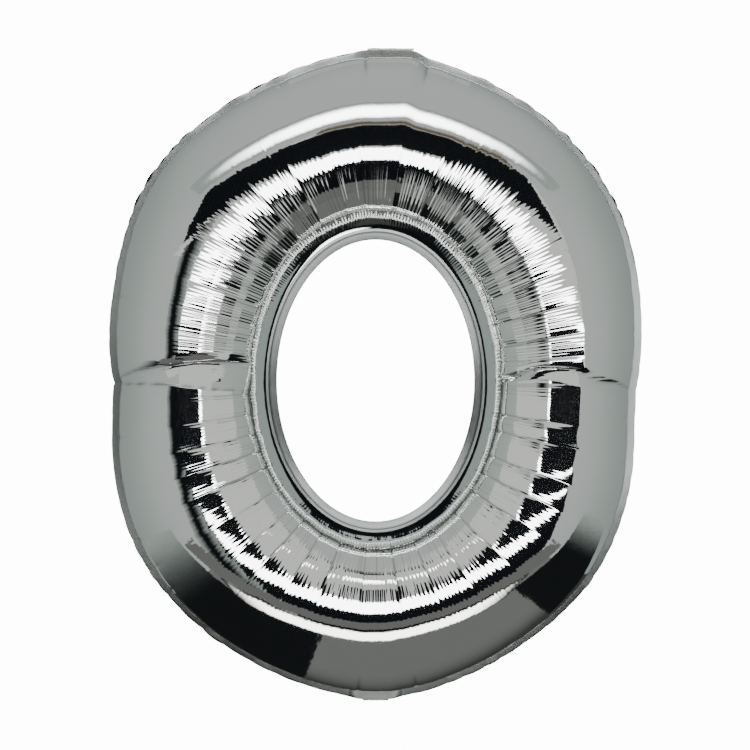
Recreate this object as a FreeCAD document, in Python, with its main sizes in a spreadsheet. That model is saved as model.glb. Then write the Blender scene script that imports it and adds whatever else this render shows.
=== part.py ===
import FreeCAD, Part
import Sketcher
import os
import sys
from math import cos, sin, radians, sqrt, pi

# Foil number balloon, the figure 0, inflated.
# Frame: millimetres, +Z up, the figure stands in the XZ plane and faces -Y.
# Origin: the middle of the figure's outline, in the plane of the seams.

V = FreeCAD.Vector
doc = FreeCAD.newDocument("number_balloon")

# ---------------------------------------------------------------- dimensions
dims = doc.addObject("Spreadsheet::Sheet", "dims")
dims.Label = "dims"
CELLS = [
    # foil and seams
    ("foil", 0.5),              # one ply of foil, as modelled
    ("outer_seam", 10.5),       # weld and trim margin round the outline
    ("inner_seam", 11.0),       # weld and trim margin round the hole
    # cut outline, radius from the origin every 15 degrees of one quadrant
    ("edge_a00", 352.0),
    ("edge_a15", 359.5),
    ("edge_a30", 379.0),
    ("edge_a45", 399.0),
    ("edge_a60", 412.5),
    ("edge_a75", 423.0),
    ("edge_a90", 429.0),
    # half of the inflated tube's depth
    ("depth_side", 98.0),
    ("depth_end", 106.0),
    # hole, cut edge
    ("hole_half_w", 130.0),
    ("hole_half_h", 185.5),
    ("hole_drop", 8.0),         # the hole's middle lies this far below the origin
    # self-sealing valve
    ("film", 0.2),
    ("film_w", 22.0),
    ("valve_reach", 118.0),     # length inside the envelope, above the outer weld
    ("slot_gap", 0.2),          # side room for the films in the weld
    # inflation neck
    ("neck_w", 34.0),
    ("neck_len", 70.0),
    ("neck_film_out", 3.0),     # the films stand out of the neck's mouth
    ("neck_fold", 110.0),       # folded back from hanging, degrees
    ("fold_gap", 1.0),          # from the cut edge to a fold's axis
    ("fold_start", 0.25),       # from a fold's axis to the flap
    # hanging tab
    ("tab_w", 62.0),
    ("tab_len", 27.0),
    ("tab_hole_r", 3.0),
    ("tab_hole_at", 13.0),      # from the fold's axis
    ("tab_shift", 20.0),         # to the figure's own left of its middle
    ("tab_fold", 84.0),         # folded back from upright, degrees
]
for row, (alias, value) in enumerate(CELLS, start=1):
    dims.set("A%d" % row, alias)
    dims.set("B%d" % row, str(value))
    dims.setAlias("B%d" % row, alias)
doc.recompute()


def d(name):
    return float(getattr(dims, name))


QUADRANT = ["edge_a00", "edge_a15", "edge_a30", "edge_a45", "edge_a60", "edge_a75", "edge_a90"]
STATIONS = [15 * k for k in range(24)]


def edge_cell(deg):
    """The cell that holds the cut outline's radius at this angle."""
    a = deg % 360
    if a > 180:
        a = 360 - a
    if a > 90:
        a = 180 - a
    return QUADRANT[a // 15]


def hole_radius(deg, grow=0.0):
    """Radius from the origin to the hole's edge, the hole grown by grow."""
    c, s = cos(radians(deg)), sin(radians(deg))
    aa, bb, drop = d("hole_half_w") + grow, d("hole_half_h") + grow, d("hole_drop")
    p = c * c / aa ** 2 + s * s / bb ** 2
    q = drop * s / bb ** 2
    k = drop ** 2 / bb ** 2 - 1.0
    return (-q + sqrt(q * q - p * k)) / p


def outer_weld_expr(deg):
    return "(dims.%s - dims.outer_seam)" % edge_cell(deg)


def inner_weld_expr(deg):
    c, s = cos(radians(deg)), sin(radians(deg))
    aa = "(dims.hole_half_w + dims.inner_seam)"
    bb = "(dims.hole_half_h + dims.inner_seam)"
    p = "(%.12f / %s^2 + %.12f / %s^2)" % (c * c, aa, s * s, bb)
    q = "(dims.hole_drop * (%.12f) / %s^2)" % (s, bb)
    k = "(dims.hole_drop^2 / %s^2 - 1)" % bb
    return "((sqrt(%s^2 - %s * %s) - %s) / %s)" % (q, p, k, q, p)


def depth(deg):
    return d("depth_side") + (d("depth_end") - d("depth_side")) * sin(radians(deg)) ** 2


def depth_expr(deg):
    return "(dims.depth_side + (dims.depth_end - dims.depth_side) * %.12f)" % sin(radians(deg)) ** 2


# ------------------------------------------------------------------- helpers
def plane_of(body, role):
    for f in body.Origin.OriginFeatures:
        if f.Role == role:
            return f
    raise RuntimeError(role)


def new_body(label):
    body = doc.addObject("PartDesign::Body", label)
    body.Label = label
    return body


def new_sketch(body, name, role, offset=None):
    sk = body.newObject("Sketcher::SketchObject", name)
    sk.AttachmentSupport = [(plane_of(body, role), "")]
    sk.MapMode = "FlatFace"
    if offset is not None:
        sk.AttachmentOffset = offset
    return sk


def rectangle(sk, x0, x1, y0, y1, exprs):
    """A rectangle with its four sides at x0, x1, y0 and y1, each bound to an expression."""
    pts = [V(x0, y0, 0), V(x1, y0, 0), V(x1, y1, 0), V(x0, y1, 0)]
    g = [sk.addGeometry(Part.LineSegment(pts[i], pts[(i + 1) % 4]), False) for i in range(4)]
    for i in range(4):
        sk.addConstraint(Sketcher.Constraint("Coincident", g[i], 2, g[(i + 1) % 4], 1))
    sk.addConstraint(Sketcher.Constraint("Horizontal", g[0]))
    sk.addConstraint(Sketcher.Constraint("Horizontal", g[2]))
    sk.addConstraint(Sketcher.Constraint("Vertical", g[1]))
    sk.addConstraint(Sketcher.Constraint("Vertical", g[3]))
    for kind, point, value, key in (
        ("DistanceX", (g[0], 1), x0, "x0"),
        ("DistanceX", (g[1], 1), x1, "x1"),
        ("DistanceY", (g[0], 1), y0, "y0"),
        ("DistanceY", (g[2], 1), y1, "y1"),
    ):
        n = sk.addConstraint(Sketcher.Constraint(kind, -1, 1, point[0], point[1], value))
        if exprs.get(key):
            sk.renameConstraint(n, key)
            sk.setExpression("Constraints." + key, exprs[key])
    return g


def pad(body, sk, name, expr, midplane=False, reverse=False):
    f = body.newObject("PartDesign::Pad", name)
    f.Profile = sk
    if midplane:
        f.Midplane = True
    f.Reversed = reverse
    f.setExpression("Length", expr)
    sk.Visibility = False
    return f


# ------------------------------------------------ front and back foil panels
def panel(label, side):
    """Half of the inflated tube: an arch of foil from the inner weld to the outer weld, all round the figure.
    side is 1 for the front, towards -Y, and -1 for the back."""
    body = new_body(label)
    sketches = []
    t = d("foil")
    for deg in STATIONS:
        c, s = cos(radians(deg)), sin(radians(deg))
        ro = d(edge_cell(deg)) - d("outer_seam")
        ri = hole_radius(deg, d("inner_seam"))
        mid, rad = (ro + ri) / 2, (ro - ri) / 2
        dep = depth(deg)
        x, y = V(c, 0, s), V(0, -side, 0)
        z = x.cross(y)
        rot = FreeCAD.Rotation(x, y, z, "XYZ")
        sk = new_sketch(
            body, "%s_section_%03d" % (label, deg), "XY_Plane",
            FreeCAD.Placement(V(0, -side * t, 0), rot),
        )
        sk.setExpression("AttachmentOffset.Base.y", "%d * dims.foil" % -side)
        e_o, e_i = outer_weld_expr(deg), inner_weld_expr(deg)
        e_half = "(%s - %s) / 2" % (e_o, e_i)
        arcs = []
        for key, less in (("outside", 0.0), ("inside", t)):
            el = Part.Ellipse(V(mid, 0, 0), rad - less, dep - less)
            n = sk.addGeometry(Part.ArcOfEllipse(el, 0, pi), False)
            first = sk.GeometryCount
            sk.exposeInternalGeometry(n)
            wide = deep = None
            for k in range(first, sk.GeometryCount):
                g = sk.Geometry[k]
                if isinstance(g, Part.LineSegment):
                    if abs(g.EndPoint.x - g.StartPoint.x) > abs(g.EndPoint.y - g.StartPoint.y):
                        wide = k
                    else:
                        deep = k
            sk.addConstraint(Sketcher.Constraint("Horizontal", wide))
            sk.addConstraint(Sketcher.Constraint("PointOnObject", n, 3, -1))
            sk.addConstraint(Sketcher.Constraint("PointOnObject", n, 1, -1))
            sk.addConstraint(Sketcher.Constraint("PointOnObject", n, 2, -1))
            for what, expr, value in (
                (("DistanceX", -1, 1, n, 3, mid), "(%s + %s) / 2" % (e_o, e_i), key + "_middle"),
                (("Distance", wide, 2 * (rad - less)), "2 * %s" % e_half, key + "_width"),
                (("Distance", deep, 2 * (dep - less)), "2 * %s" % depth_expr(deg), key + "_depth"),
            ):
                c_no = sk.addConstraint(Sketcher.Constraint(*what))
                sk.renameConstraint(c_no, value)
                if less and not value.endswith("middle"):
                    expr += " - 2 * dims.foil"
                sk.setExpression("Constraints." + value, expr)
            arcs.append(n)
        o, i = arcs
        a = sk.addGeometry(Part.LineSegment(V(mid - rad, 0, 0), V(mid - rad + t, 0, 0)), False)
        b = sk.addGeometry(Part.LineSegment(V(mid + rad - t, 0, 0), V(mid + rad, 0, 0)), False)
        for con in (
            ("Coincident", a, 1, o, 2),
            ("Coincident", a, 2, i, 2),
            ("Coincident", b, 1, i, 1),
            ("Coincident", b, 2, o, 1),
        ):
            sk.addConstraint(Sketcher.Constraint(*con))
        sk.Visibility = False
        sketches.append(sk)
    loft = body.newObject("PartDesign::AdditiveLoft", label + "_skin")
    loft.Profile = sketches[0]
    loft.Sections = sketches[1:]
    loft.Ruled = False
    loft.Closed = True
    return body


# ------------------------------------------------------------- welded seams
def closed_curve(radii):
    pts = [V(r * cos(radians(a)), r * sin(radians(a)), 0) for a, r in zip(STATIONS, radii)]
    c = Part.BSplineCurve()
    c.interpolate(Points=pts, PeriodicFlag=True)
    return c


def seam(label, outside, inside):
    """A flat ring, two plies thick, in the plane of the seams. Its sketch lies in the XZ plane."""
    body = new_body(label)
    sk = new_sketch(body, label + "_outline", "XZ_Plane")
    sk.addGeometry(closed_curve(outside), False)
    sk.addGeometry(closed_curve(inside), False)
    pad(body, sk, label + "_plies", "2 * dims.foil", midplane=True)
    return body


# ------------------------------------------------------------------ building
front = panel("front_panel", 1)
back = panel("back_panel", -1)

outer = seam(
    "outer_seam_weld",
    [d(edge_cell(a)) for a in STATIONS],
    [d(edge_cell(a)) - d("outer_seam") - d("foil") for a in STATIONS],
)
inner = seam(
    "inner_seam_weld",
    [hole_radius(a, d("inner_seam") + d("foil")) for a in STATIONS],
    [hole_radius(a) for a in STATIONS],
)
doc.recompute()

# the slot that the valve's films pass through, at the bottom of the outer weld
before = outer.Shape.Volume
sk = new_sketch(outer, "valve_slot", "XY_Plane")
hw = d("film_w") / 2 + d("slot_gap")
rectangle(
    sk, -hw, hw, -d("film"), d("film"),
    {
        "x0": "-(dims.film_w / 2 + dims.slot_gap)",
        "x1": "dims.film_w / 2 + dims.slot_gap",
        "y0": "-dims.film",
        "y1": "dims.film",
    },
)
slot = outer.newObject("PartDesign::Pocket", "valve_slot_cut")
slot.Profile = sk
slot.Type = 1
slot.Reversed = False
sk.Visibility = False
doc.recompute()
slot_gone = before - outer.Shape.Volume
if slot_gone < 1:
    slot.Reversed = True
    doc.recompute()
    slot_gone = before - outer.Shape.Volume
print("slot removed %.1f mm3" % slot_gone)


# the valve's two films inside the envelope, from the cut edge up
def inner_film(label, side):
    body = new_body(label)
    sk = new_sketch(body, label + "_outline", "XZ_Plane")
    w, z0 = d("film_w") / 2, -d("edge_a90")
    z1 = z0 + d("outer_seam") + d("valve_reach")
    rectangle(
        sk, -w, w, z0, z1,
        {
            "x0": "-dims.film_w / 2",
            "x1": "dims.film_w / 2",
            "y0": "-dims.edge_a90",
            "y1": "-dims.edge_a90 + dims.outer_seam + dims.valve_reach",
        },
    )
    # the XZ plane's normal is -Y
    pad(body, sk, label + "_ply", "dims.film", reverse=(side < 0))
    return body


film_f = inner_film("valve_front_film", 1)
film_b = inner_film("valve_back_film", -1)


# the inflation neck: two foil plies sealed along their sides, with the films between them.
# Each piece is drawn hanging from its fold and then turned back about it.
def neck_place(body):
    body.setExpression("Placement.Base.z", "-dims.edge_a90 - dims.fold_gap")
    body.Placement = FreeCAD.Placement(
        V(0, 0, -d("edge_a90") - d("fold_gap")), FreeCAD.Rotation(V(1, 0, 0), d("neck_fold"))
    )


def neck_foil(label, side):
    body = new_body(label)
    w = d("neck_w") / 2
    sk = new_sketch(body, label + "_outline", "XZ_Plane")
    rectangle(
        sk, -w, w, -d("neck_len"), -d("fold_start"),
        {
            "x0": "-dims.neck_w / 2",
            "x1": "dims.neck_w / 2",
            "y0": "-dims.neck_len",
            "y1": "-dims.fold_start",
        },
    )
    p = pad(body, sk, label + "_ply", "dims.foil", reverse=(side < 0))
    doc.recompute()
    vol = body.Shape.Volume
    # the seat for one film, pressed into the ply's inner face
    sk2 = new_sketch(body, label + "_film_seat", "XZ_Plane")
    f = d("film_w") / 2 + d("slot_gap")
    rectangle(
        sk2, -f, f, -d("neck_len") - 1, 0,
        {
            "x0": "-(dims.film_w / 2 + dims.slot_gap)",
            "x1": "dims.film_w / 2 + dims.slot_gap",
            "y0": "-dims.neck_len - 1",
        },
    )
    cut = body.newObject("PartDesign::Pocket", label + "_film_seat_cut")
    cut.Profile = sk2
    cut.setExpression("Length", "dims.film")
    cut.Reversed = side > 0
    sk2.Visibility = False
    doc.recompute()
    if vol - body.Shape.Volume < 1:
        cut.Reversed = not cut.Reversed
        doc.recompute()
    print("%s seat removed %.1f mm3" % (label, vol - body.Shape.Volume))
    neck_place(body)
    return body


def neck_film(label, side):
    body = new_body(label)
    w = d("film_w") / 2
    sk = new_sketch(body, label + "_outline", "XZ_Plane")
    rectangle(
        sk, -w, w, -d("neck_len") - d("neck_film_out"), -d("fold_start"),
        {
            "x0": "-dims.film_w / 2",
            "x1": "dims.film_w / 2",
            "y0": "-dims.neck_len - dims.neck_film_out",
            "y1": "-dims.fold_start",
        },
    )
    pad(body, sk, label + "_ply", "dims.film", reverse=(side < 0))
    neck_place(body)
    return body


neck_f = neck_foil("neck_front_foil", 1)
neck_b = neck_foil("neck_back_foil", -1)
nfilm_f = neck_film("neck_valve_front_film", 1)
nfilm_b = neck_film("neck_valve_back_film", -1)

# the hanging tab: both plies welded together, rounded, with a punched hole
tab = new_body("hanging_tab")
sk = new_sketch(tab, "tab_outline", "XZ_Plane")
tw, tl, ts = d("tab_w") / 2, d("tab_len"), d("fold_start")
# a flat-topped tab: two sides lean in, and its crown is one arc
base = sk.addGeometry(Part.LineSegment(V(-tw, ts, 0), V(tw, ts, 0)), False)
rise = tl - ts
crown_r = (tw * tw + rise * rise) / (2 * rise)
cz = tl - crown_r
from math import atan2
a0, a1 = atan2(ts - cz, tw), atan2(ts - cz, -tw)
crown = sk.addGeometry(Part.ArcOfCircle(Part.Circle(V(0, cz, 0), V(0, 0, 1), crown_r), a0, a1), False)
hole = sk.addGeometry(Part.Circle(V(0, d("tab_hole_at"), 0), V(0, 0, 1), d("tab_hole_r")), False)
for con in (
    ("Coincident", base, 2, crown, 1),
    ("Coincident", base, 1, crown, 2),
    ("Horizontal", base),
    ("PointOnObject", crown, 3, -2),
    ("PointOnObject", hole, 3, -2),
):
    sk.addConstraint(Sketcher.Constraint(*con))
for con, key, expr in (
    (("DistanceX", base, 1, base, 2, 2 * tw), "width", "dims.tab_w"),
    (("DistanceY", -1, 1, base, 1, ts), "start", "dims.fold_start"),
    (("Radius", crown, crown_r), "crown",
     "((dims.tab_w / 2)^2 + (dims.tab_len - dims.fold_start)^2) / (2 * (dims.tab_len - dims.fold_start))"),
    (("Radius", hole, d("tab_hole_r")), "hole", "dims.tab_hole_r"),
    (("DistanceY", -1, 1, hole, 3, d("tab_hole_at")), "hole_at", "dims.tab_hole_at"),
):
    n = sk.addConstraint(Sketcher.Constraint(*con))
    sk.renameConstraint(n, key)
    sk.setExpression("Constraints." + key, expr)
pad(tab, sk, "tab_plies", "2 * dims.foil", midplane=True)
tab.Placement = FreeCAD.Placement(
    V(d("tab_shift"), 0, d("edge_a90") + d("fold_gap")), FreeCAD.Rotation(V(1, 0, 0), -d("tab_fold"))
)
tab.setExpression("Placement.Base.x", "dims.tab_shift")
tab.setExpression("Placement.Base.z", "dims.edge_a90 + dims.fold_gap")
doc.recompute()

# ------------------------------------------------------------ check and write
NODES = [front, back, outer, inner, film_f, film_b, neck_f, neck_b, nfilm_f, nfilm_b, tab]
bad = [o.Name for o in doc.Objects if any(w in o.State for w in ("Invalid", "Error"))]
if bad:
    print("failed objects:", bad)
    sys.exit(1)
os.makedirs("parts", exist_ok=True)
for node in NODES:
    shape = node.Shape
    if shape.isNull() or not shape.isValid() or not shape.Solids:
        print("bad shape:", node.Label)
        sys.exit(1)
for node in NODES:
    shape = node.Shape
    bb = shape.BoundBox
    shape.exportStep("parts/%s.step" % node.Label)
    print("%-24s %8.1f mm3  x %.1f..%.1f  y %.1f..%.1f  z %.1f..%.1f  solids %d" % (
        node.Label, shape.Volume, bb.XMin, bb.XMax, bb.YMin, bb.YMax, bb.ZMin, bb.ZMax, len(shape.Solids)))
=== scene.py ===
import bpy
import math
import numpy as np
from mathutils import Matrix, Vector


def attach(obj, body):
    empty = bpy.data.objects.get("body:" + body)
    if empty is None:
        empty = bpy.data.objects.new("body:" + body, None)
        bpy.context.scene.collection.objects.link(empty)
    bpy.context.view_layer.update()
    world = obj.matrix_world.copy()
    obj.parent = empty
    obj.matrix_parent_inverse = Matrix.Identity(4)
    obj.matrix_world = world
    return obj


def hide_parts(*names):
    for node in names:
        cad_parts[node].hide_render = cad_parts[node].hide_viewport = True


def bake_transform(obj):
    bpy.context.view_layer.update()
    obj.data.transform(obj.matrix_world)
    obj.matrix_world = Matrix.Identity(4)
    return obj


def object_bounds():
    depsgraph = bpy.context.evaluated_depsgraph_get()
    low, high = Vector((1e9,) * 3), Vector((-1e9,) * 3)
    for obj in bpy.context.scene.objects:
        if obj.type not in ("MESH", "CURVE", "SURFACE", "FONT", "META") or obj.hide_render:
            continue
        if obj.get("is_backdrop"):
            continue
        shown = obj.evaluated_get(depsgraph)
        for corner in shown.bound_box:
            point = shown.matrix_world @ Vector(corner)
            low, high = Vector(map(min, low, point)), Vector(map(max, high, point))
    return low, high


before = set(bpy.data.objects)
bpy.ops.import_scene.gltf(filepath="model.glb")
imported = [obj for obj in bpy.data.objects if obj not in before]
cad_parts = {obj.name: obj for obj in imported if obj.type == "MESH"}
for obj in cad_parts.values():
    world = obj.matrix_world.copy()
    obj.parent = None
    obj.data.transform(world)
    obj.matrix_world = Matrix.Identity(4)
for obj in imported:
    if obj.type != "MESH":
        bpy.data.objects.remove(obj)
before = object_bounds()

# ------------------------------------------------------------------ the shape
# Metres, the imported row's frame: +Z up, the figure's front faces -Y.
MM = 0.001
EDGE_STEP = 5.0
# radius of the cut edge from the middle, every 5 degrees from +X towards +Z
EDGE = np.array([
    348.5, 352.5, 357.0, 362.0, 369.5, 376.5, 383.5, 390.0, 395.5, 399.5, 404.5, 408.5, 411.0, 413.0, 416.0, 419.0, 422.5, 426.5,
    428.2, 426.0, 422.0, 417.5, 413.5, 411.5, 409.0, 407.0, 404.5, 401.0, 396.0, 389.0, 381.5, 374.0, 366.5, 361.0, 357.5, 354.0,
    348.5, 347.5, 354.0, 361.0, 368.0, 375.5, 383.5, 390.0, 396.0, 400.5, 404.0, 408.0, 411.5, 413.0, 417.0, 420.5, 423.5, 426.5,
    428.5, 426.5, 422.5, 418.0, 413.5, 410.0, 406.0, 402.5, 400.0, 396.5, 390.5, 383.5, 376.5, 369.5, 361.5, 354.0, 347.5, 344.5,
]) * MM
FLANGE = 10.5 * MM
HOLE_A, HOLE_B, HOLE_Z = 0.1300, 0.1855, -0.008
LIP = 10.5 * MM
DEPTH_SIDE, DEPTH_END = 0.0975, 0.1055
NT = 2040


def smooth(x, a, b):
    t = np.clip((x - a) / (b - a), 0.0, 1.0)
    return t * t * (3 - 2 * t)


def edge_radius(phi):
    """Smooth periodic radius of the cut edge at polar angle phi."""
    n = len(EDGE)
    c = np.fft.rfft(EDGE) / n
    k = np.arange(len(c))
    c = c * np.exp(-(k / 17.0) ** 4)
    r = np.full_like(phi, c[0].real)
    for j in range(1, len(c)):
        w = 1.0 if (n % 2 == 0 and j == len(c) - 1) else 2.0
        r = r + w * (c[j].real * np.cos(j * phi) - c[j].imag * np.sin(j * phi))
    # a short notch where the fold reaches each side
    for at, deep in ((-3.1097, 0.0036), (-0.060, 0.0016)):
        d = (phi - at + math.pi) % (2 * math.pi) - math.pi
        r = r - deep * np.exp(-np.abs(d) * 0.345 / 0.009)
    # nearly straight where the tab and the neck join the margin
    for at, half, soft, level in ((math.pi / 2 - 0.0465, 0.020, 0.034, 0.4283), (-math.pi / 2, 0.012, 0.026, 0.4286)):
        d = (phi - at + math.pi) % (2 * math.pi) - math.pi
        k = 1 - smooth(np.abs(d) * 0.43, half, half + soft)
        r = r * (1 - k) + k * level / np.maximum(np.abs(np.sin(phi)), 0.5)
    return r


t = np.linspace(0, 2 * math.pi, NT, endpoint=False)
# spread the columns by arc length of a middle curve
mx, mz = (HOLE_A + 0.075) * np.cos(t), (HOLE_B + 0.075) * np.sin(t)
fine = np.linspace(0, 2 * math.pi, 20001)
fx, fz = (HOLE_A + 0.075) * np.cos(fine), (HOLE_B + 0.075) * np.sin(fine)
arc = np.concatenate([[0], np.cumsum(np.hypot(np.diff(fx), np.diff(fz)))])
PERIM = arc[-1]
T = np.interp(np.linspace(0, PERIM, NT, endpoint=False), arc, fine)
S = np.linspace(0, PERIM, NT, endpoint=False)          # metres along the middle curve

ia, ib = HOLE_A + LIP, HOLE_B + LIP
IX, IZ = ia * np.cos(T), HOLE_Z + ib * np.sin(T)
NX, NZ = np.cos(T) / ia, np.sin(T) / ib
nl = np.hypot(NX, NZ)
NX, NZ = NX / nl, NZ / nl


def reach(inset):
    """Distance along each column's ray from the inner weld to the edge curve, less inset."""
    lo, hi = np.zeros(NT), np.full(NT, 0.45)
    for _ in range(40):
        mid = (lo + hi) / 2
        x, z = IX + mid * NX, IZ + mid * NZ
        inside = np.hypot(x, z) < edge_radius(np.arctan2(z, x)) - inset
        lo, hi = np.where(inside, mid, lo), np.where(inside, hi, mid)
    return (lo + hi) / 2


W = reach(FLANGE)                                       # weld to weld
E = reach(0.0)                                          # inner weld to cut edge
PHI = np.arctan2(IZ + W * NZ, IX + W * NX)              # polar angle of the outer weld
A = W / 2
B = DEPTH_SIDE + (DEPTH_END - DEPTH_SIDE) * np.sin(PHI) ** 2

TH = np.radians(np.concatenate([
    np.linspace(0, 22, 6)[:-1], np.linspace(22, 78, 8)[:-1], np.linspace(78, 140, 15)[:-1],
    np.linspace(140, 144.5, 3)[:-1], np.linspace(144.5, 151.5, 18)[:-1], np.linspace(151.5, 158, 3)[:-1], np.linspace(158, 180, 4)]))
NV = len(TH)


def breaks(rng, length, low, high):
    """Positions round the ring, spaced low to high apart."""
    out, s = [], 0.0
    while s < length - low:
        out.append(s)
        s += rng.uniform(low, high)
    out = np.array(out)
    return out * length / s if s > length else out


def cells(pos, s, length):
    """For each s: index of its cell between breaks, its place 0..1 in the cell and the cell's width."""
    ext = np.concatenate([pos, [length]])
    i = np.clip(np.searchsorted(ext, s, side="right") - 1, 0, len(pos) - 1)
    wid = ext[i + 1] - ext[i]
    return i, (s - ext[i]) / wid, wid


def noise1(rng, s, length, period):
    """Smooth periodic noise round the ring, about -1 to 1."""
    n = max(3, int(round(length / period)))
    v = rng.uniform(-1, 1, n)
    x = s / length * n
    i = np.floor(x).astype(int)
    f = x - i
    f = f * f * (3 - 2 * f)
    return v[i % n] * (1 - f) + v[(i + 1) % n] * f


def angle_gap(a, b):
    return (a - b + math.pi) % (2 * math.pi) - math.pi


# the folds that cross each side of the tube, as z against x: the valley, and the ridge below it
VALLEY_X = np.array([-0.345, -0.312, -0.276, -0.237, -0.200, -0.150, -0.112, 0.112, 0.157, 0.178, 0.194, 0.205, 0.236, 0.253, 0.269, 0.278, 0.291, 0.313, 0.337])
VALLEY_Z = np.array([-0.009, 0.0046, 0.0098, 0.0150, 0.0160, 0.0140, 0.0110, -0.001, -0.001, -0.001, 0.004, 0.008, 0.008, 0.0066, 0.0013, -0.004, -0.009, -0.011, -0.022])
RIDGE_X = np.array([-0.345, -0.296, -0.257, -0.200, -0.112, 0.112, 0.178, 0.205, 0.236, 0.269, 0.291, 0.337])
RIDGE_Z = np.array([-0.012, -0.011, -0.012, -0.019, -0.022, -0.012, -0.009, -0.007, -0.009, -0.017, -0.024, -0.032])


def dents(X, Z, th):
    """Depth, into the tube, of the sharp fold across each side, and the painted shade along its line."""
    valley = np.interp(X, VALLEY_X, VALLEY_Z)
    ridge = np.interp(X, RIDGE_X, RIDGE_Z)
    left = X < 0
    deep = np.where(left, 0.0034, 0.0018)
    proud = np.where(left, 0.0020, 0.0019)
    above = np.clip(1 - (Z - valley) / np.where(left, 0.0120, 0.0075), 0, 1) ** np.where(left, 1.2, 1.6)
    face = np.clip((Z - ridge) / np.maximum(valley - ridge, 0.003), 0, 1)
    face = face * 0.85 + 0.15 * face * face * (3 - 2 * face)
    below = -proud * np.exp(-np.maximum(ridge - Z, 0) / 0.078)
    d = np.where(Z >= valley, deep * above, below + (deep + proud) * face)
    line = 0.0010 * np.exp(-np.abs(Z - valley) / 0.0018)
    inner_end = 1 - smooth(th, math.radians(132), math.radians(149))
    env = smooth(th, math.radians(16), math.radians(56)) * inner_end
    env_line = smooth(th, math.radians(1), math.radians(9)) * (0.45 + 0.55 * env) * inner_end
    # painted shade along the valley, and in broken dashes along the ridge on the left
    dark = np.exp(-np.abs(Z - valley - 0.0006) / 0.0013) * env_line * 0.80
    broken = 0.5 + 0.5 * np.sin(X * 330 + 1.1 * np.sin(X * 910))
    dark = np.maximum(dark, 0.75 * broken * np.exp(-np.abs(Z - ridge + 0.0010) / 0.0015) * np.where(left, 1.0, 0.0) * env_line)
    calm = smooth(Z, ridge - 0.004, ridge + 0.001) * (1 - smooth(Z, valley + 0.006, valley + 0.014))
    return d * env + line * env_line, dark, calm


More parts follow.
